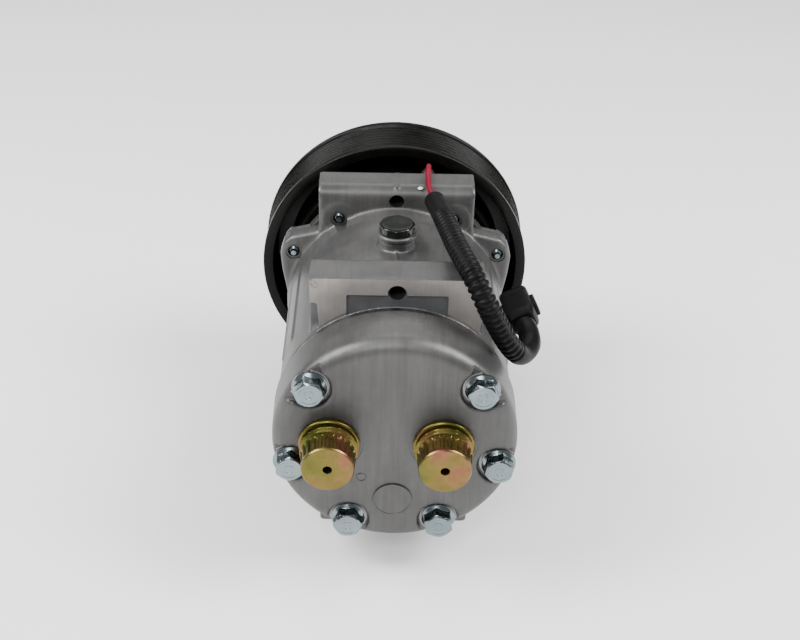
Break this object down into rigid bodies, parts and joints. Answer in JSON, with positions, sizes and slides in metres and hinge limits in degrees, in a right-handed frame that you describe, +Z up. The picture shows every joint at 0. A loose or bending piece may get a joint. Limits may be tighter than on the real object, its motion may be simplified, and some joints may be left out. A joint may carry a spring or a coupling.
{
  "type": "automotive air-conditioning compressor",
  "caption": "Wobble-plate vehicle air-conditioning compressor with a grooved clutch pulley, cross-bored mounting ears, capped rear ports and a coil lead in a corrugated loom.",
  "frame": {"origin": "the middle of the body's box: on the shaft axis, halfway between the ports' cap ends and the shaft's end", "axes": "+Y along the shaft towards the pulley, +Z up through the oil plug, +X right seen from the rear head"},
  "size_m": [0.1546, 0.235, 0.1622],
  "materials": {
    "cast_aluminium": "as-cast, lightly mottled, satin",
    "machined_aluminium": "fine machined lines",
    "zinc_steel": "bright blue-white zinc plate",
    "yellow_zinc": "yellow chromate zinc, slightly iridescent",
    "bearing_steel": "ground steel",
    "black_steel": "satin black coating",
    "black_plastic": "moulded, satin",
    "seal_rubber": "smooth",
    "wire_insulation": "crimson insulation, semi-gloss",
    "coil_resin": "dark potting resin in a black steel shell"
  },
  "bodies": {
    "root": {"rear_head": "cast_aluminium", "valve_plate": "bearing_steel", "cylinder_block": "cast_aluminium", "front_housing": "cast_aluminium", "head_bolt_1": "zinc_steel", "head_bolt_2": "zinc_steel", "head_bolt_3": "zinc_steel", "head_bolt_4": "zinc_steel", "head_bolt_5": "zinc_steel", "head_bolt_6": "zinc_steel", "cover_bolt_1": "zinc_steel", "cover_bolt_2": "zinc_steel", "cover_bolt_3": "zinc_steel", "cover_bolt_4": "zinc_steel", "cover_bolt_5": "zinc_steel", "cover_bolt_6": "zinc_steel", "oil_plug": "black_plastic", "suction_fitting": "yellow_zinc", "suction_cap": "yellow_zinc", "discharge_fitting": "yellow_zinc", "discharge_cap": "yellow_zinc", "front_bearing": "bearing_steel", "rotor_thrust_bearing": "bearing_steel", "shaft_seal": "seal_rubber", "fixed_gear": "bearing_steel", "pivot_ball": "bearing_steel", "field_coil": "coil_resin", "coil_lead": "wire_insulation", "lead_loom": "black_plastic", "lead_connector": "black_plastic"},
    "pulley_assembly": {"pulley": "black_steel", "pulley_bearing": "bearing_steel"},
    "shaft_assembly": {"drive_shaft": "bearing_steel", "cam_rotor": "bearing_steel", "plate_thrust_bearing": "bearing_steel", "clutch_hub": "black_steel", "hub_nut": "zinc_steel"},
    "armature": {"armature_plate": "black_steel"},
    "wobble_plate_body": {"wobble_plate": "bearing_steel"},
    "rod_ball_1_body": {"rod_ball_1": "bearing_steel"},
    "rod_1_body": {"connecting_rod_1": "bearing_steel"},
    "piston_1_body": {"piston_1": "machined_aluminium"},
    "rod_ball_2_body": {"rod_ball_2": "bearing_steel"},
    "rod_2_body": {"connecting_rod_2": "bearing_steel"},
    "piston_2_body": {"piston_2": "machined_aluminium"},
    "rod_ball_3_body": {"rod_ball_3": "bearing_steel"},
    "rod_3_body": {"connecting_rod_3": "bearing_steel"},
    "piston_3_body": {"piston_3": "machined_aluminium"},
    "rod_ball_4_body": {"rod_ball_4": "bearing_steel"},
    "rod_4_body": {"connecting_rod_4": "bearing_steel"},
    "piston_4_body": {"piston_4": "machined_aluminium"},
    "rod_ball_5_body": {"rod_ball_5": "bearing_steel"},
    "rod_5_body": {"connecting_rod_5": "bearing_steel"},
    "piston_5_body": {"piston_5": "machined_aluminium"},
    "rod_ball_6_body": {"rod_ball_6": "bearing_steel"},
    "rod_6_body": {"connecting_rod_6": "bearing_steel"},
    "piston_6_body": {"piston_6": "machined_aluminium"},
    "rod_ball_7_body": {"rod_ball_7": "bearing_steel"},
    "rod_7_body": {"connecting_rod_7": "bearing_steel"},
    "piston_7_body": {"piston_7": "machined_aluminium"}
  },
  "joints": [
    {"name": "pulley_spin", "type": "hinge", "parent": "root", "child": "pulley_assembly", "pos_m": [0, 0.0945, 0], "axis": [0, 1, 0], "continuous": true},
    {"name": "shaft_spin", "type": "hinge", "parent": "root", "child": "shaft_assembly", "pos_m": [0, 0.0645, 0], "axis": [0, 1, 0], "continuous": true},
    {"name": "clutch_engage", "type": "slide", "parent": "shaft_assembly", "child": "armature", "axis": [0, -1, 0], "range_m": [0, 0.0005], "stiffness_N_per_m": 20000},
    {"name": "plate_nutation", "type": "hinge", "parent": "shaft_assembly", "child": "wobble_plate_body", "pos_m": [0, 0.0155, 0], "axis": [-0.3907, 0.9205, 0], "continuous": true},
    {"name": "rod_swing_1", "type": "hinge", "parent": "wobble_plate_body", "child": "rod_ball_1_body", "pos_m": [0.01598, 0.02228, 0.03604], "axis": [-0.3907, 0.9205, 0], "continuous": true},
    {"name": "rod_turn_1", "type": "hinge", "parent": "rod_ball_1_body", "child": "rod_1_body", "pos_m": [0.01598, 0.02228, 0.03604], "axis": [0, 1, 0], "continuous": true},
    {"name": "piston_travel_1", "type": "hinge", "parent": "rod_1_body", "child": "piston_1_body", "pos_m": [0.01667, -0.02309, 0.03461], "axis": [0, 1, 0], "continuous": true},
    {"name": "rod_swing_2", "type": "hinge", "parent": "wobble_plate_body", "child": "rod_ball_2_body", "pos_m": [0.0359, 0.03074, 0.0089], "axis": [-0.3907, 0.9205, 0], "continuous": true},
    {"name": "rod_turn_2", "type": "hinge", "parent": "rod_ball_2_body", "child": "rod_2_body", "pos_m": [0.0359, 0.03074, 0.0089], "axis": [0, 1, 0], "continuous": true},
    {"name": "piston_travel_2", "type": "hinge", "parent": "rod_2_body", "child": "piston_2_body", "pos_m": [0.03745, -0.01463, 0.00855], "axis": [0, 1, 0], "continuous": true},
    {"name": "rod_swing_3", "type": "hinge", "parent": "wobble_plate_body", "child": "rod_ball_3_body", "pos_m": [0.02879, 0.02772, -0.02494], "axis": [-0.3907, 0.9205, 0], "continuous": true},
    {"name": "rod_turn_3", "type": "hinge", "parent": "rod_ball_3_body", "child": "rod_3_body", "pos_m": [0.02879, 0.02772, -0.02494], "axis": [0, 1, 0], "continuous": true},
    {"name": "piston_travel_3", "type": "hinge", "parent": "rod_3_body", "child": "piston_3_body", "pos_m": [0.03003, -0.01765, -0.02395], "axis": [0, 1, 0], "continuous": true},
    {"name": "rod_swing_4", "type": "hinge", "parent": "wobble_plate_body", "child": "rod_ball_4_body", "pos_m": [0, 0.0155, -0.04], "axis": [-0.3907, 0.9205, 0], "continuous": true},
    {"name": "rod_turn_4", "type": "hinge", "parent": "rod_ball_4_body", "child": "rod_4_body", "pos_m": [0, 0.0155, -0.04], "axis": [0, 1, 0], "continuous": true},
    {"name": "piston_travel_4", "type": "hinge", "parent": "rod_4_body", "child": "piston_4_body", "pos_m": [0, -0.02987, -0.03841], "axis": [0, 1, 0], "continuous": true},
    {"name": "rod_swing_5", "type": "hinge", "parent": "wobble_plate_body", "child": "rod_ball_5_body", "pos_m": [-0.02879, 0.00328, -0.02494], "axis": [-0.3907, 0.9205, 0], "continuous": true},
    {"name": "rod_turn_5", "type": "hinge", "parent": "rod_ball_5_body", "child": "rod_5_body", "pos_m": [-0.02879, 0.00328, -0.02494], "axis": [0, 1, 0], "continuous": true},
    {"name": "piston_travel_5", "type": "hinge", "parent": "rod_5_body", "child": "piston_5_body", "pos_m": [-0.03003, -0.04209, -0.02395], "axis": [0, 1, 0], "continuous": true},
    {"name": "rod_swing_6", "type": "hinge", "parent": "wobble_plate_body", "child": "rod_ball_6_body", "pos_m": [-0.0359, 0.00026, 0.0089], "axis": [-0.3907, 0.9205, 0], "continuous": true},
    {"name": "rod_turn_6", "type": "hinge", "parent": "rod_ball_6_body", "child": "rod_6_body", "pos_m": [-0.0359, 0.00026, 0.0089], "axis": [0, 1, 0], "continuous": true},
    {"name": "piston_travel_6", "type": "hinge", "parent": "rod_6_body", "child": "piston_6_body", "pos_m": [-0.03745, -0.04511, 0.00855], "axis": [0, 1, 0], "continuous": true},
    {"name": "rod_swing_7", "type": "hinge", "parent": "wobble_plate_body", "child": "rod_ball_7_body", "pos_m": [-0.01598, 0.00872, 0.03604], "axis": [-0.3907, 0.9205, 0], "continuous": true},
    {"name": "rod_turn_7", "type": "hinge", "parent": "rod_ball_7_body", "child": "rod_7_body", "pos_m": [-0.01598, 0.00872, 0.03604], "axis": [0, 1, 0], "continuous": true},
    {"name": "piston_travel_7", "type": "hinge", "parent": "rod_7_body", "child": "piston_7_body", "pos_m": [-0.01667, -0.03665, 0.03461], "axis": [0, 1, 0], "continuous": true}
  ],
  "couplings": [
    {"joint": "plate_nutation", "follows": "shaft_spin", "ratio": -1},
    {"joint": "rod_swing_1", "follows": "shaft_spin", "ratio": 1},
    {"joint": "rod_turn_1", "follows": "shaft_spin", "ratio": 1},
    {"joint": "piston_travel_1", "follows": "shaft_spin", "ratio": -2},
    {"joint": "rod_swing_2", "follows": "shaft_spin", "ratio": 1},
    {"joint": "rod_turn_2", "follows": "shaft_spin", "ratio": 1},
    {"joint": "piston_travel_2", "follows": "shaft_spin", "ratio": -2},
    {"joint": "rod_swing_3", "follows": "shaft_spin", "ratio": 1},
    {"joint": "rod_turn_3", "follows": "shaft_spin", "ratio": 1},
    {"joint": "piston_travel_3", "follows": "shaft_spin", "ratio": -2},
    {"joint": "rod_swing_4", "follows": "shaft_spin", "ratio": 1},
    {"joint": "rod_turn_4", "follows": "shaft_spin", "ratio": 1},
    {"joint": "piston_travel_4", "follows": "shaft_spin", "ratio": -2},
    {"joint": "rod_swing_5", "follows": "shaft_spin", "ratio": 1},
    {"joint": "rod_turn_5", "follows": "shaft_spin", "ratio": 1},
    {"joint": "piston_travel_5", "follows": "shaft_spin", "ratio": -2},
    {"joint": "rod_swing_6", "follows": "shaft_spin", "ratio": 1},
    {"joint": "rod_turn_6", "follows": "shaft_spin", "ratio": 1},
    {"joint": "piston_travel_6", "follows": "shaft_spin", "ratio": -2},
    {"joint": "rod_swing_7", "follows": "shaft_spin", "ratio": 1},
    {"joint": "rod_turn_7", "follows": "shaft_spin", "ratio": 1},
    {"joint": "piston_travel_7", "follows": "shaft_spin", "ratio": -2}
  ]
}
